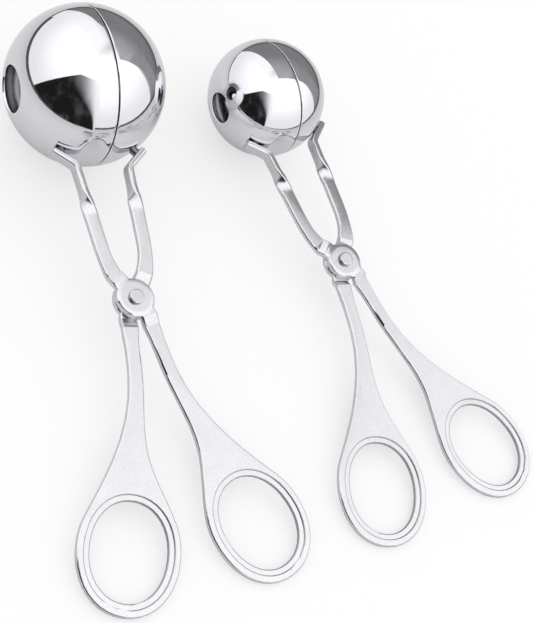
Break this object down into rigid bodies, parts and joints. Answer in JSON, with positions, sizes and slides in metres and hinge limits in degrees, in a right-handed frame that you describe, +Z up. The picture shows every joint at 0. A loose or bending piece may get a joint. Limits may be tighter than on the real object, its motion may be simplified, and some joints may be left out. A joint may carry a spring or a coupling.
{
  "type": "meatball tongs",
  "caption": "Large and small meatball tongs in stainless steel: scissor arms with finger loops and half-ball cups",
  "frame": {"origin": "the middle of the foot of the box round both pairs, on the table they lie on", "axes": "+Z up off the table, +Y from the large pair's finger loops to its ball, +X to the right"},
  "size_m": [0.1508, 0.1692, 0.046],
  "materials": {
    "arm_steel": "satin",
    "cup_steel": "mirror polished",
    "rivet_steel": "polished"
  },
  "bodies": {
    "large_back": {"large_back_arm": "arm_steel", "large_right_cup": "cup_steel", "large_rivet": "rivet_steel"},
    "large_front": {"large_front_arm": "arm_steel", "large_left_cup": "cup_steel"},
    "small_back": {"small_back_arm": "arm_steel", "small_right_cup": "cup_steel", "small_rivet": "rivet_steel"},
    "small_front": {"small_front_arm": "arm_steel", "small_left_cup": "cup_steel"}
  },
  "joints": [
    {"name": "large_hinge", "type": "hinge", "parent": "large_back", "child": "large_front", "pos_m": [-0.04119, -0.00207, 0.01341], "axis": [0, -0.1489, 0.9888], "range_deg": [0, 75]},
    {"name": "small_hinge", "type": "hinge", "parent": "small_back", "child": "small_front", "pos_m": [0.03021, 0.00203, 0.01102], "axis": [0.0181, -0.1194, 0.9927], "range_deg": [0, 75]},
    {"name": "small_pair_lift", "type": "slide", "parent": "large_back", "child": "small_back", "axis": [0, 0, 1], "range_m": [0, 0.1]}
  ],
  "couplings": [
    {"joint": "large_hinge", "follows": "small_pair_lift", "rad_per_m": 13.089},
    {"joint": "small_hinge", "follows": "small_pair_lift", "rad_per_m": 13.089}
  ]
}
